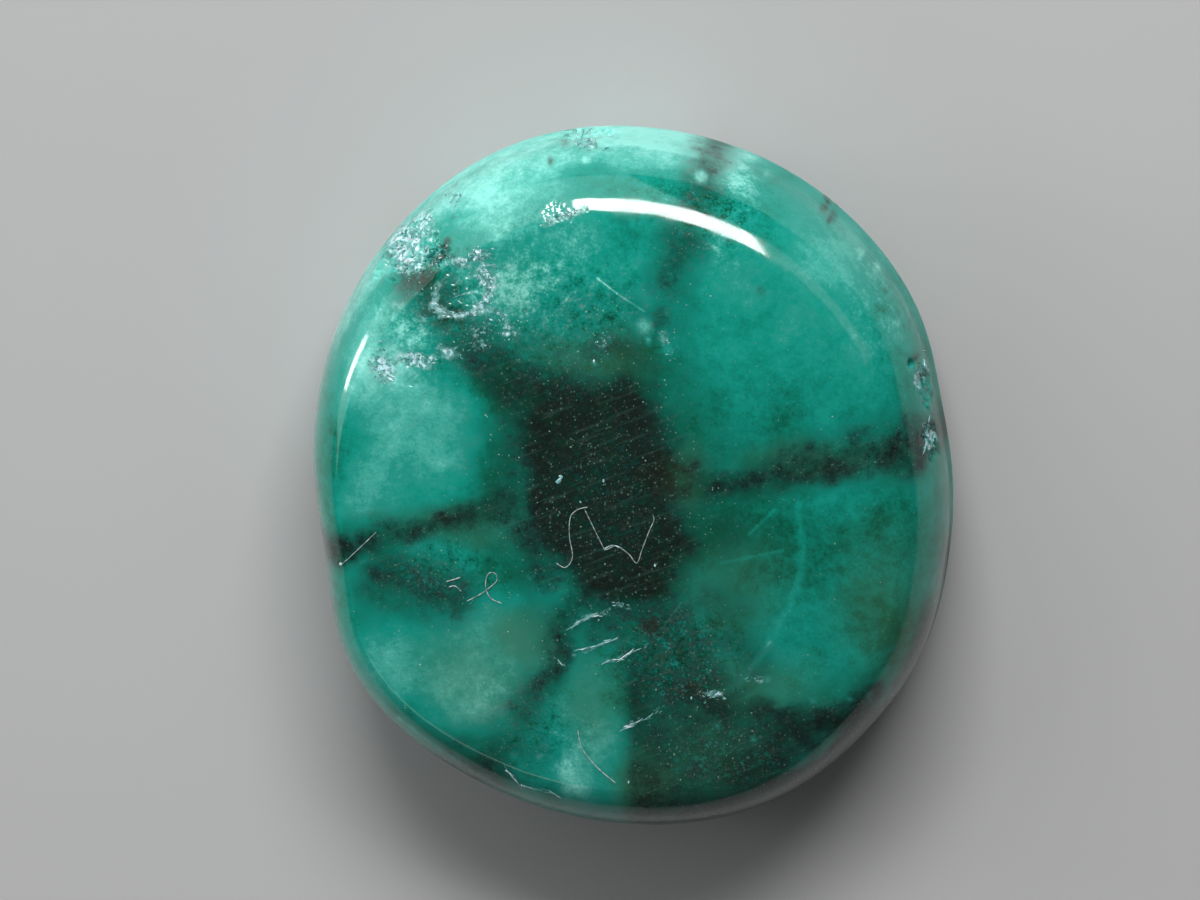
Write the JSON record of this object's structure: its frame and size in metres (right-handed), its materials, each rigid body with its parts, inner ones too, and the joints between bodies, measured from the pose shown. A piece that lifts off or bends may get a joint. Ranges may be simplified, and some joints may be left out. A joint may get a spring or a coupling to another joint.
{
  "type": "trapiche emerald",
  "caption": "Low round-oval polished cabochon of trapiche emerald, flat-backed, with dark arms spreading from a dark core between milky green sectors.",
  "frame": {"origin": "middle of the stone's box, on the flat back that it lies on", "axes": "+Z out of the domed face, +X to the right of the face as pictured, +Y to its top"},
  "size_m": [0.0064, 0.007, 0.0024],
  "materials": {
    "beryl": "polished"
  },
  "bodies": {
    "root": {"emerald": "beryl"}
  },
  "joints": []
}
